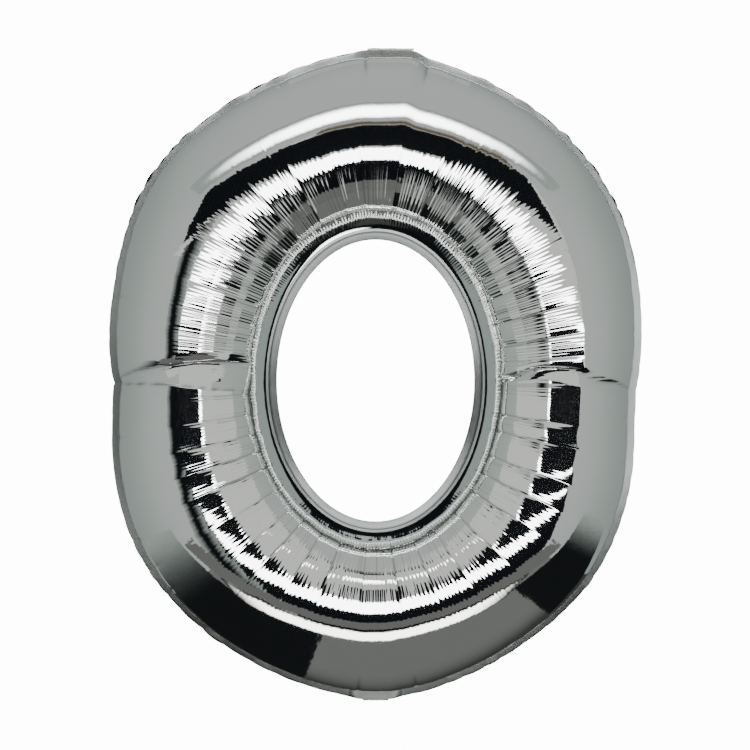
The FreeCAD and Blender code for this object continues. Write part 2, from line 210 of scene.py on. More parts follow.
def panel(name, side, seed):
    """side 1 is the front panel (towards -Y), -1 the back."""
    rng = np.random.RandomState(seed)
    th = TH[None, :]
    a, b = A[:, None], B[:, None]
    nx, nz = NX[:, None], NZ[:, None]
    sk = (0.09 - 0.09 * np.clip(np.sin(PHI), 0, 1) ** 2 - 0.12 * np.clip(-np.sin(PHI), 0, 1) ** 2)[:, None] * a                                           # the crest lies a little outside the middle
    r = a + a * np.cos(th) + sk * np.sin(th) ** 2           # along the ray, from the inner weld
    X = IX[:, None] + r * nx
    Z = IZ[:, None] + r * nz
    Y = -side * b * np.sin(th)
    # unit normal of the plain tube
    u, v = b * np.cos(th), a * np.sin(th) - 2 * sk * np.sin(th) * np.cos(th)
    ln = np.hypot(u, v)
    u, v = u / ln, v / ln
    deg = np.degrees(TH)[None, :]

    # creases between puffs: every 25 to 45 mm, starting near the crest
    low = smooth(-np.sin(PHI), -0.10, 0.06)                 # the lower half has calmer, rounder puffs
    foot = smooth(-np.sin(PHI), 0.80, 0.97)
    sharp = 1 - 0.68 * low + 0.25 * foot
    major = breaks(rng, PERIM, 0.026, 0.044)
    mi, mw, mwid = cells(major, S, PERIM)
    nM = len(major)
    m_start = rng.uniform(80, 98, nM)
    m_deep = (0.12 + 0.60 * rng.uniform(0, 1, nM) ** 1.6) * MM
    dist = np.minimum(mw, 1 - mw) * mwid                     # metres to the nearer crease
    near = np.where(mw < 0.5, mi, (mi + 1) % nM)
    start = m_start[near][:, None]
    env_m = smooth(deg, start, start + 22) * (1 - smooth(deg, 148, 154))
    H = -m_deep[near][:, None] * np.exp(-(dist / 0.0022)[:, None]) * env_m
    # painted shade along each crease's valley, darker for deeper creases
    dark = (0.25 + 0.75 * m_deep[near] / (0.72 * MM))[:, None] * np.exp(-(dist / 0.0009)[:, None]) * env_m * 0.75
    puff = rng.uniform(0.10, 0.55, nM)[mi][:, None] * MM
    side_low = low * (1 - smooth(-np.sin(PHI), 0.45, 0.80))
    puff = puff + ((0.55 + 0.30 * rng.uniform(-1, 1, nM))[mi] * side_low * MM)[:, None]
    env_p = smooth(deg, 66, 96) * (1 - smooth(deg, 140, 156))
    H = H + puff * (1 - (2 * mw - 1) ** 2)[:, None] * env_p

    # fine ribs inside each puff
    edges = []
    ext = np.concatenate([major, [PERIM]])
    for k in range(nM):
        w = ext[k + 1] - ext[k]
        n = max(3, int(round(w / 0.0045)))
        cut = np.cumsum(rng.uniform(0.6, 1.4, n))
        cut = cut / cut[-1] * w
        edges.extend([ext[k]] + list(ext[k] + cut[:-1]))
    ribs = np.array(edges)
    ri, rw, rwid = cells(ribs, S, PERIM)
    nR = len(ribs)
    calm = 0.55 + 0.45 * noise1(rng, ribs, PERIM, 0.09)
    amp = (0.18 + 0.72 * rng.uniform(0, 1, nR) ** 1.3 * calm) * MM * np.interp(ribs, S, sharp)
    sp = np.interp(ribs, S, np.sin(PHI))
    r_start = rng.uniform(74, 88, nR) + 14 * smooth(sp, 0.88, 0.99) - 8 * smooth(-sp, 0.5, 0.9)
    crown = smooth(np.sin(PHI), 0.55, 0.90)[:, None]
    skew = rng.uniform(0.75, 1.35, nR)
    w = rw ** skew[ri]
    prof = 1 - np.abs(2 * w - 1) ** 1.6
    st = r_start[ri][:, None]
    env_r = (0.42 * smooth(deg, st - 4, st + 10) + 0.58 * smooth(deg, st + 8, st + 48)) * (1 - smooth(deg, 147, 154))
    env_r = env_r * (1 - 0.55 * crown * smooth(deg, 106, 120))
    H = H + (amp[ri] * prof)[:, None] * env_r
    # the valleys between ribs get a painted shade line, some of them strongly
    gap = np.minimum(rw, 1 - rw) * rwid
    rn = np.where(rw < 0.5, ri, (ri + 1) % nR)
    strong = np.where(rng.uniform(0, 1, nR) < 0.30, rng.uniform(0.45, 0.85, nR), rng.uniform(0.0, 0.22, nR)) * np.interp(ribs, S, sharp)
    dark = np.maximum(dark, strong[rn][:, None] * np.exp(-(gap / 0.0006)[:, None]) * env_r * (0.35 + 0.65 * smooth(deg, 104, 132)))

    # the ribs end in a small sharp step that zigzags round the collar
    zz = breaks(rng, PERIM, 0.0034, 0.0062)
    zi, zw, zwid = cells(zz, S, PERIM)
    nZ = len(zz)
    top = smooth(np.sin(PHI), 0.25, 0.85)
    z_mid = 148.0 + 0.8 * noise1(rng, S, PERIM, 0.030) + 0.4 * noise1(rng, S, PERIM, 0.009)
    reach_z = rng.uniform(0.6, 1.5, nZ)[zi] * (1.0 + 0.9 * top)
    step = (z_mid - reach_z * (1 - np.abs(2 * zw - 1)) + 0.4 * reach_z)[:, None]
    rise = (rng.uniform(0.95, 1.45, nZ)[zi] * MM)[:, None]
    H = H + rise * smooth(deg, step - 0.40, step + 0.45) * (1 - smooth(deg, step + 1.2, step + 8.0))
    H = H - 0.35 * rise * smooth(deg, step - 4.0, step - 0.6) * (1 - smooth(deg, step - 0.5, step + 0.2))
    # each tooth of the comb is a crinkled ridge: rougher, so it scatters light, with a painted glint that whitens its
    # colour and lowers its metallic
    long_z = (rng.uniform(1.6, 4.6, nZ)[zi] * (1.0 + 0.7 * top))[:, None]
    mid = np.exp(-((zw - 0.5) * zwid / 0.00095) ** 2)[:, None]
    glint = rng.uniform(0.55, 1.0, nZ)[zi][:, None] * mid * smooth(deg, step - long_z, step - 0.25 * long_z) * (1 - smooth(deg, step + 0.2, step + 1.3))
    # a painted glint line along the step itself
    glint = np.maximum(glint, 0.75 * np.exp(-((deg - step - 0.1) / 0.42) ** 2))

    # slow waves of the foil
    for period, size in ((0.24, 0.75), (0.12, 0.40), (0.06, 0.12)):
        n1 = noise1(rng, S, PERIM, period)[:, None]
        n2 = noise1(rng, S, PERIM, period)[:, None]
        n3 = noise1(rng, S, PERIM, period)[:, None]
        H = H + size * MM * np.sin(th) * (n1 * np.cos(th * 1.7 + 0.4) + n2 * np.sin(th * 2.3) + 0.6 * n3)

    # short puckers running in from the outer weld
    pk = breaks(rng, PERIM, 0.020, 0.052)
    pi_, pw, pwid = cells(pk, S, PERIM)
    nP = len(pk)
    p_deep = rng.uniform(0.1, 1.0, nP) ** 2.0 * 0.9 * MM
    p_len = rng.uniform(12, 34, nP)
    pn = np.where(pw < 0.5, pi_, (pi_ + 1) % nP)
    pd = np.minimum(pw, 1 - pw) * pwid
    env = smooth(deg, 0.0, 4.0) * (1 - smooth(deg, 4, 6 + p_len[pn][:, None]))
    H = H - p_deep[pn][:, None] * np.exp(-(pd / 0.0030)[:, None]) * env
    # painted shade along each pucker's valley
    dark = np.maximum(dark, 0.6 * (p_deep / (0.9 * MM))[pn][:, None] * np.exp(-(pd / 0.0010)[:, None]) * env)
    H = H + 0.35 * MM * (1 - (2 * pw - 1) ** 2)[:, None] * smooth(deg, 0.5, 7) * (1 - smooth(deg, 8, 36))

    # longer creases either side of the tab, and of the neck
    PX, PZ = IX + W * NX, IZ + W * NZ
    for cx, top, length, deep in ((-0.0135, 1, 50, 2.2), (0.0690, 1, 52, 2.2), (-0.128, 1, 30, 1.1), (0.187, 1, 28, 0.9),
                                  (-0.023, -1, 46, 1.3), (0.054, -1, 44, 1.2), (-0.213, 1, 26, 1.0), (-0.272, 1, 24, 1.0)):
        sel = (PZ * top > 0)
        dx = np.where(sel, np.abs(PX - cx), 9.0)
        env = smooth(deg, 0.0, 4.0) * (1 - smooth(deg, length * 0.45, length))
        H = H - deep * MM * np.exp(-(dx / 0.0032)[:, None]) * env
        # painted shade along these creases
        dark = np.maximum(dark, min(0.9, 0.42 * deep) * np.exp(-(dx / 0.0013)[:, None]) * env)

    # painted shade on the smooth collar, darkening towards the lip
    dark = np.maximum(dark, 0.88 * smooth(deg, 168.0, 177.5) * np.ones_like(H))
    # line is the painted shade along each side's sharp fold
    pit, line, flat = dents(X, Z, th)
    keep = 1 - 0.88 * flat * (1 - smooth(deg, 132, 146))
    dark = np.maximum(dark * keep, line)
    H = H * keep - pit
    H = H * smooth(deg, 0.0, 3.0) * (1 - smooth(deg, 176.0, 180.0))
    X = X + H * u * nx
    Z = Z + H * u * nz
    Y = Y - side * H * v
    o = grid(name, X, Y, Z, side)
    # store the painted shade, and the rough teeth's painted glint
    tone(o, dark)
    tone(o, glint, "crumple_and_painted_glint")
    return o


def tone(o, dark, what="crease"):
    """Store how dark each point's painted shade is, or how strong its roughening and painted glint are, 0 to 1."""
    at = o.data.attributes.new(what, "FLOAT", "POINT")
    at.data.foreach_set("value", np.clip(dark, 0, 1).astype(np.float32).ravel())


def mesh_from(name, co, quads, smooth_shade=True):
    me = bpy.data.meshes.new(name)
    me.vertices.add(len(co))
    me.vertices.foreach_set("co", np.asarray(co, np.float32).ravel())
    me.loops.add(quads.size)
    me.loops.foreach_set("vertex_index", np.asarray(quads, np.int32).ravel())
    me.polygons.add(len(quads))
    me.polygons.foreach_set("loop_start", np.arange(0, quads.size, 4, dtype=np.int32))
    me.polygons.foreach_set("loop_total", np.full(len(quads), 4, np.int32))
    me.update(calc_edges=True)
    me.validate()
    me.polygons.foreach_set("use_smooth", np.full(len(me.polygons), smooth_shade))
    o = bpy.data.objects.new(name, me)
    bpy.context.scene.collection.objects.link(o)
    return o


def grid(name, X, Y, Z, side):
    n, m = X.shape
    co = np.stack([X, Y, Z], -1).reshape(-1, 3)
    i = np.arange(n)[:, None]
    j = np.arange(m - 1)[None, :]
    k = (i + 1) % n
    q = np.stack([i * m + j, k * m + j, k * m + j + 1, i * m + j + 1], -1).reshape(-1, 4)
    if side > 0:
        q = q[:, ::-1]
    return mesh_from(name, co, q)


def ring(name, rows, half, closed=True):
    """A thin closed strip round the ring: rows is a list of (X, Y, Z) of its middle, from inside to outside."""
    P = np.stack([np.stack(r, -1) for r in rows], 1)       # n, m, 3
    n, m = P.shape[:2]
    d = np.array([0, half, 0])
    loop = np.concatenate([P - d, (P + d)[:, ::-1]], 1)    # round the strip's section
    mm = loop.shape[1]
    i = np.arange(n)[:, None]
    j = np.arange(mm)[None, :]
    k = (i + 1) % n
    jj = (j + 1) % mm
    q = np.stack([i * mm + j, k * mm + j, k * mm + jj, i * mm + jj], -1).reshape(-1, 4)
    return mesh_from(name, loop.reshape(-1, 3), q[:, ::-1])


front = panel("foil_front", 1, 11)
back = panel("foil_back", -1, 29)

# the outer weld's margin: flat at the weld, wavy at the cut edge
rng = np.random.RandomState(5)
deg_phi = np.degrees(PHI) % 360
rough = (np.exp(-((deg_phi - 125) / 28) ** 2) + np.exp(-((deg_phi - 52) / 20) ** 2)
         + 0.6 * np.exp(-((deg_phi - 238) / 22) ** 2) + 0.35 * np.exp(-((deg_phi - 300) / 30) ** 2) + 0.14)
wave_pos = breaks(rng, PERIM, 0.011, 0.024)
wi, ww, wwid = cells(wave_pos, S, PERIM)
sign = np.where(np.arange(len(wave_pos)) % 2 == 0, 1.0, -1.0) * rng.uniform(0.4, 1.2, len(wave_pos))
wave = sign[wi] * np.sin(math.pi * ww) ** 1.0 * rough
fine_wave = noise1(rng, S, PERIM, 0.006) * rough
OXX, OZZ = IX + W * NX, IZ + W * NZ
lean = np.where(OZZ > 0, 1 - np.exp(-(np.abs(OXX - 0.020) / 0.046) ** 6), 1 - np.exp(-(np.abs(OXX) / 0.030) ** 6))
scallop = rng.uniform(0.2, 1.0, len(wave_pos))[wi] * np.sin(math.pi * ww) ** 0.7 * np.clip(rough, 0, 1) * lean
sliver = np.where(rng.uniform(0, 1, len(wave_pos)) < 0.88, rng.uniform(0.6, 1.1, len(wave_pos)), 0.0)[wi] * np.clip(rough * 1.5 - 0.25, 0, 1) * np.sin(math.pi * ww) ** 0.6 * lean
rows, shade = [], []
ragged = noise1(np.random.RandomState(77), S, PERIM, 0.017)
arch = np.sin(math.pi * ww) ** 0.8
sliver = sliver * arch
for f in (-0.12, 0.04, 0.22, 0.42, 0.60, 0.70, 0.78, 0.85, 0.92, 1.0):
    g = max(f, 0.0)
    rr = W + (E - W) * f + (0.0005 * ragged * rough * lean + 0.0038 * (scallop - 0.72 * lean * rough)) * g ** 2
    y = (0.55 * MM * wave + 0.15 * MM * fine_wave) * g ** 1.6 * (0.10 + 0.90 * lean) + (1.2 + 3.6 * smooth(-np.sin(PHI), 0.30, 0.80)) * MM * g * lean
    y = y + 1.8 * MM * sliver * smooth(np.float64(f), 0.72, 1.0)
    rows.append((IX + rr * NX, y, IZ + rr * NZ))
    # painted shade: dark notches between the waves, dark crescents at the curled cut edge, and a darker patch where
    # the neck's fold meets the margin
    notch = np.exp(-(np.minimum(ww, 1 - ww) * wwid / 0.0010)) * rough * 0.55
    crescent = smooth(f - (1.02 - 0.40 * sliver), 0.0, 0.05) * (sliver > 0.1)
    root = np.where((OZZ < 0) & (np.abs(OXX) < 0.034), 0.62, 0.0)
    shade.append(np.clip(np.maximum(np.maximum(crescent, notch * g), root), 0, 1))
outer = ring("weld_outer", rows, 0.22 * MM)
shade = np.stack(shade, 1)
tone(outer, np.concatenate([shade, shade[:, ::-1]], 1))

# the inner weld's margin
rng = np.random.RandomState(8)
lip_wave = noise1(rng, S, PERIM, 0.045) * 0.9 + noise1(rng, S, PERIM, 0.02) * 0.3
rows = []
shade = []
for f in (0.10, 0.0, -0.14, -0.30, -0.50, -0.70, -0.86, -0.93, -1.0):
    g = max(-f, 0.0)
    off = LIP * f
    # trimmed to the plain ellipse
    y = 0.35 * MM * lip_wave * g ** 1.3 - 0.9 * MM * g ** 1.2
    rows.append((IX + off * NX, y, IZ + off * NZ))
    # painted shade, darkest at the weld where the collar meets the margin and again along the cut edge
    shade.append(np.full(NT, max(0.9 * float(1 - smooth(np.float64(g), 0.02, 0.24)), 0.75 * float(smooth(np.float64(g), 0.88, 0.96)))))
inner = ring("weld_inner", rows[::-1], 0.22 * MM)
shade = np.stack(shade[::-1], 1)
tone(inner, np.concatenate([shade, shade[:, ::-1]], 1))

# ------------------------------------------------------- tab, neck and creases
def plate(name, U, V, place, half, bulge=None):
    """A thin closed plate from a grid of flat points, put in place by a function (u, v, w) -> xyz."""
    n, m = U.shape
    wv = np.zeros_like(U) if bulge is None else bulge
    top = place(U, V, wv + half)
    bot = place(U, V, wv - half)
    co = np.concatenate([top.reshape(-1, 3), bot.reshape(-1, 3)])
    quads = []
    off = n * m
    for i in range(n - 1):
        for j in range(m - 1):
            a0 = i * m + j
            quads.append([a0, a0 + 1, a0 + m + 1, a0 + m])
            quads.append([off + a0, off + a0 + m, off + a0 + m + 1, off + a0 + 1])
    rim = [i * m for i in range(n)] + [(n - 1) * m + j for j in range(1, m)] \
        + [i * m + m - 1 for i in range(n - 2, -1, -1)] + [j for j in range(m - 2, 0, -1)]
    for k in range(len(rim)):
        a0, b0 = rim[k], rim[(k + 1) % len(rim)]
        quads.append([a0, b0, off + b0, off + a0][::1])
    o = mesh_from(name, co, np.array(quads))
    return o


def fix_normals(o):
    import bmesh
    bm = bmesh.new()
    bm.from_mesh(o.data)
    bmesh.ops.recalc_face_normals(bm, faces=bm.faces)
    bm.to_mesh(o.data)
    bm.free()


TAB_X, TAB_Z = 0.020, 0.430
TA = math.radians(84)                    # back from upright
tab_dir = np.array([0, math.sin(TA), math.cos(TA)])
tab_up = np.array([0, -math.cos(TA), math.sin(TA)])


def tab_place(U, V, Wv):
    base = np.array([TAB_X, 0, TAB_Z])
    return base + U[..., None] * np.array([1.0, 0, 0]) + V[..., None] * tab_dir + Wv[..., None] * tab_up


# polar grid round the punched hole, out to the tab's outline
TL, TWH, T0, HR, HC = 0.027, 0.031, 0.0004, 0.003, 0.013
rise = TL - T0
CR = (TWH ** 2 + rise ** 2) / (2 * rise)
CZ = TL - CR
ang = np.linspace(0, 2 * math.pi, 97)
ca, sa = np.cos(ang), np.sin(ang)
# distance from the hole's middle to the crown arc, and to the straight root
bq = (HC - CZ) * sa
r_arc = -bq + np.sqrt(np.maximum(bq ** 2 - ((HC - CZ) ** 2 - CR ** 2), 0))
r_root = np.where(sa < -1e-6, (T0 - HC) / np.where(sa < -1e-6, sa, -1), 1e9)
r_out = np.minimum(r_arc, r_root)
f = np.linspace(0, 1, 9)
rad = HR + (r_out[:, None] - HR) * f[None, :]
U = rad * ca[:, None]
Vv = HC + rad * sa[:, None]
rngt = np.random.RandomState(3)
bul = 0.0007 * np.sin(U * 240 + 0.6) * np.clip(Vv / TL, 0, 1) + 0.0006 * np.sin(Vv * 330 + U * 90)
bul = bul * smooth(Vv, 0.001, 0.008)
tab = plate("tab_foil", U, Vv, tab_place, 0.22 * MM, bul)
fix_normals(tab)

NECK_Z = -0.430
NA = math.radians(110)                   # back from hanging
neck_dir = np.array([0, math.sin(NA), -math.cos(NA)])
neck_out = np.array([0, -math.cos(NA) * -1.0, math.sin(NA) * 1.0])
neck_out = np.cross(neck_dir, np.array([1.0, 0, 0]))     # the side that faced forward when hanging


def neck_place(U, V, Wv):
    base = np.array([0, 0, NECK_Z])
    return base + U[..., None] * np.array([1.0, 0, 0]) + V[..., None] * neck_dir + Wv[..., None] * neck_out


def neck_ply(name, sign, seed):
    rg = np.random.RandomState(seed)
    u = np.linspace(-0.017, 0.017, 41)
    v = np.linspace(0.0004, 0.070, 85)
    Vg, Ug = np.meshgrid(v, u)
    side_in = np.clip((0.017 - np.abs(Ug)) / 0.006, 0, 1)
    open_ = 0.0010 * side_in ** 0.7 * smooth(Vg, 0.0, 0.02)
    mouth = 0.0010 * side_in * smooth(Vg, 0.055, 0.070)
    crinkle = 0.00035 * np.sin(Vg * 620 + 3 * np.sin(Ug * 130 + seed)) * smooth(Vg, 0.002, 0.01)
    shared = 0.0009 * np.sin(Ug * 150 + Vg * 60) * smooth(Vg, 0.004, 0.03)
    bulge = sign * (0.00024 + open_ + mouth) + crinkle * side_in * sign + shared
    o = plate(name, Ug, Vg, neck_place, 0.10 * MM, bulge)
    fix_normals(o)
    return o


def neck_film(name, sign, seed):
    u = np.linspace(-0.011, 0.011, 25)
    v = np.linspace(0.0004, 0.0765, 61)
    Vg, Ug = np.meshgrid(v, u)
    Vg = Vg - 0.0012 * np.abs(np.sin(Ug * 90 + seed)) * (Vg > 0.076)
    open_ = (0.00018 + 0.0007 * np.clip((0.011 - np.abs(Ug)) / 0.005, 0, 1) * smooth(Vg, 0.066, 0.0765)) * sign
    shared = 0.0009 * np.sin(Ug * 150 + Vg * 60) * smooth(Vg, 0.004, 0.03)
    o = plate(name, Ug, Vg, neck_place, 0.04 * MM, open_ + shared)
    fix_normals(o)
    return o


neck_f = neck_ply("neck_foil_front", 1, 1)
neck_b = neck_ply("neck_foil_back", -1, 2)
film_f = neck_film("neck_film_front", 1, 4)
film_b = neck_film("neck_film_back", -1, 5)


def crease(name, x0, x1, z_edge, z_axis, direction, length):
    """The strip of foil round a fold, from the seam's margin to the flap's root."""
    us = np.linspace(x0, x1, 33)
    path = []
    d0 = np.array([0, 0, 1.0 if z_axis > 0 else -1.0])
    p0 = np.array([0, 0, z_edge])
    p1 = np.array([0, 0, z_axis])
    n = 9
    for k in range(n):
        f_ = k / (n - 1)
        # quadratic curve from the margin, round the axis, on to the flap
        e = p1 + direction * length
        q = (1 - f_) ** 2 * p0 + 2 * f_ * (1 - f_) * p1 + f_ ** 2 * e
        tan = 2 * (1 - f_) * (p1 - p0) + 2 * f_ * (e - p1)
        tan = tan / np.linalg.norm(tan)
        path.append((q, np.cross(tan, np.array([1.0, 0, 0]))))
    h = 0.20 * MM
    co = []
    for (q, nn) in path:
        for x in us:
            co.append(q + np.array([x, 0, 0]) + nn * h)
    for (q, nn) in path:
        for x in us:
            co.append(q + np.array([x, 0, 0]) - nn * h)
    m = len(us)
    off = n * m
    quads = []
    for i in range(n - 1):
        for j in range(m - 1):
            a0 = i * m + j
            quads.append([a0, a0 + 1, a0 + m + 1, a0 + m])
            quads.append([off + a0, off + a0 + m, off + a0 + m + 1, off + a0 + 1])
    rim = [i * m for i in range(n)] + [(n - 1) * m + j for j in range(1, m)] \
        + [i * m + m - 1 for i in range(n - 2, -1, -1)] + [j for j in range(m - 2, 0, -1)]
    for k in range(len(rim)):
        a0, b0 = rim[k], rim[(k + 1) % len(rim)]
        quads.append([a0, b0, off + b0, off + a0])
    o = mesh_from(name, np.array(co), np.array(quads))
    fix_normals(o)
    return o


def edge_top(x):
    phi = math.atan2(0.42, x)
    return float(edge_radius(np.array([phi]))[0]) * math.sin(phi)


z_top = edge_top(TAB_X)
z_bot = -float(edge_radius(np.array([-math.pi / 2]))[0])
tab_crease = crease("tab_crease", TAB_X - 0.0309, TAB_X + 0.0309, z_top - 0.0008, TAB_Z, tab_dir, 0.0010)
neck_crease = crease("neck_crease", -0.0169, 0.0169, z_bot + 0.0008, NECK_Z, neck_dir, 0.0010)
# painted shade over the neck's fold strip
tone(neck_crease, np.full(len(neck_crease.data.vertices), 0.62))

# ------------------------------------------------------------------ materials
def new_mat(name):
    m = bpy.data.materials.new(name)
    m.use_nodes = True
    nt = m.node_tree
    return m, nt, nt.nodes["Principled BSDF"]


def add_noise(nt, scale, detail, x=-900, y=0, rough=0.5):
    tc = nt.nodes.new("ShaderNodeTexCoord")
    tc.location = (x - 200, y)
    n = nt.nodes.new("ShaderNodeTexNoise")
    n.location = (x, y)
    n.inputs["Scale"].default_value = scale
    n.inputs["Detail"].default_value = detail
    n.inputs["Roughness"].default_value = rough
    nt.links.new(tc.outputs["Object"], n.inputs["Vector"])
    return n


def add_bump(nt, height, bsdf, strength, distance):
    b = nt.nodes.new("ShaderNodeBump")
    b.inputs["Strength"].default_value = strength
    b.inputs["Distance"].default_value = distance
    nt.links.new(height, b.inputs["Height"])
    nt.links.new(b.outputs["Normal"], bsdf.inputs["Normal"])
    return b


def foil(name, color, rough, bump_mm, scale):
    m, nt, p = new_mat(name)
    p.inputs["Metallic"].default_value = 1.0
    p.inputs["Roughness"].default_value = rough
    n1 = add_noise(nt, 3.2, 2.0)
    ramp = nt.nodes.new("ShaderNodeValToRGB")
    ramp.color_ramp.elements[0].position = 0.30
    ramp.color_ramp.elements[0].color = (color[0] * 0.965, color[1] * 0.965, color[2] * 0.965, 1)
    ramp.color_ramp.elements[1].position = 0.72
    ramp.color_ramp.elements[1].color = (color[0], color[1], color[2], 1)
    nt.links.new(n1.outputs["Fac"], ramp.inputs["Fac"])
    # painted shade: the crease attribute mixes the colour towards near-black
    fold = nt.nodes.new("ShaderNodeAttribute")
    fold.attribute_type = "GEOMETRY"
    fold.attribute_name = "crease"
    shade = nt.nodes.new("ShaderNodeMix")
    shade.data_type = "RGBA"
    shade.inputs[7].default_value = (0.018, 0.020, 0.020, 1)
    nt.links.new(fold.outputs["Fac"], shade.inputs[0])
    nt.links.new(ramp.outputs["Color"], shade.inputs[6])
    # painted glint: this attribute whitens the colour and lowers the metallic; its raised roughness is real
    crumple_and_painted_glint = nt.nodes.new("ShaderNodeAttribute")
    crumple_and_painted_glint.attribute_type = "GEOMETRY"
    crumple_and_painted_glint.attribute_name = "crumple_and_painted_glint"
    bright = nt.nodes.new("ShaderNodeMix")
    bright.data_type = "RGBA"
    bright.inputs[7].default_value = (0.97, 0.98, 0.98, 1)
    nt.links.new(crumple_and_painted_glint.outputs["Fac"], bright.inputs[0])
    nt.links.new(shade.outputs[2], bright.inputs[6])
    nt.links.new(bright.outputs[2], p.inputs["Base Color"])
    for socket, whole in (("Metallic", 0.12), ("Roughness", 0.45)):
        mr = nt.nodes.new("ShaderNodeMapRange")
        mr.inputs["To Min"].default_value = p.inputs[socket].default_value
        mr.inputs["To Max"].default_value = whole
        nt.links.new(crumple_and_painted_glint.outputs["Fac"], mr.inputs["Value"])
        nt.links.new(mr.outputs[0], p.inputs[socket])
    n2 = add_noise(nt, scale, 3.0, y=-300, rough=0.55)
    add_bump(nt, n2.outputs["Fac"], p, 1.0, bump_mm * MM)
    return m


mirror = foil("mirror_foil", (0.90, 0.925, 0.905), 0.045, 0.10, 55.0)
seam_mat = foil("seam_foil", (0.405, 0.432, 0.416), 0.36, 0.03, 160.0)
film_mat, nt, p = new_mat("clear_film")
p.inputs["Roughness"].default_value = 0.28
p.inputs["IOR"].default_value = 1.5
p.inputs["Alpha"].default_value = 0.5
n = add_noise(nt, 140.0, 2.0)
ramp = nt.nodes.new("ShaderNodeValToRGB")
ramp.color_ramp.elements[0].color = (0.86, 0.88, 0.87, 1)
ramp.color_ramp.elements[1].color = (0.95, 0.96, 0.95, 1)
nt.links.new(n.outputs["Fac"], ramp.inputs["Fac"])
nt.links.new(ramp.outputs["Color"], p.inputs["Base Color"])
add_bump(nt, n.outputs["Fac"], p, 0.6, 0.1 * MM)


def dress(o, mat):
    o.data.materials.clear()
    o.data.materials.append(mat)


for o in (front, back):
    dress(o, mirror)
for o in (outer, inner, tab, tab_crease, neck_f, neck_b, neck_crease):
    dress(o, seam_mat)
for o in (film_f, film_b):
    dress(o, film_mat)
for node in ("valve_front_film", "valve_back_film"):
    dress(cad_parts[node], film_mat)

# ------------------------------------------------------------ ride the bodies
for o, node, slot in ((front, "front_panel", "mirror_foil"), (back, "back_panel", "mirror_foil"),
                      (outer, "outer_seam_weld", "seam_foil"), (inner, "inner_seam_weld", "seam_foil")):
    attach(o, "envelope")
    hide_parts(node)
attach(tab, "tab")
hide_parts("hanging_tab")
for o, node, slot in ((neck_f, "neck_front_foil", "seam_foil"), (neck_b, "neck_back_foil", "seam_foil"),
                      (film_f, "neck_valve_front_film", "clear_film"), (film_b, "neck_valve_back_film", "clear_film")):
    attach(o, "neck")
    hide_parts(node)
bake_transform(tab_crease)
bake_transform(neck_crease)

# ------------------------------------------------------ floor, light, camera
def stage_plane(name, centre, u, v, mat, camera=False):
    c, u, v = Vector(centre), Vector(u), Vector(v)
    me = bpy.data.meshes.new(name)
    me.from_pydata([c - u - v, c + u - v, c + u + v, c - u + v], [], [(0, 1, 2, 3)])
    me.materials.append(mat)
    o = bpy.data.objects.new(name, me)
    bpy.context.scene.collection.objects.link(o)
    o.visible_camera = camera
    o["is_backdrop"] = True
    return o


def emitter(name, color, strength):
    m, nt, p = new_mat(name)
    n = add_noise(nt, 0.6, 1.0)
    r = nt.nodes.new("ShaderNodeValToRGB")
    r.color_ramp.elements[0].color = (color[0] * 0.96, color[1] * 0.96, color[2] * 0.96, 1)
    r.color_ramp.elements[1].color = (color[0], color[1], color[2], 1)
    nt.links.new(n.outputs["Fac"], r.inputs["Fac"])
    nt.links.new(r.outputs["Color"], p.inputs["Emission Color"])
    p.inputs["Base Color"].default_value = (0, 0, 0, 1)
    p.inputs["Specular IOR Level"].default_value = 0.0
    p.inputs["Emission Strength"].default_value = strength
    return m


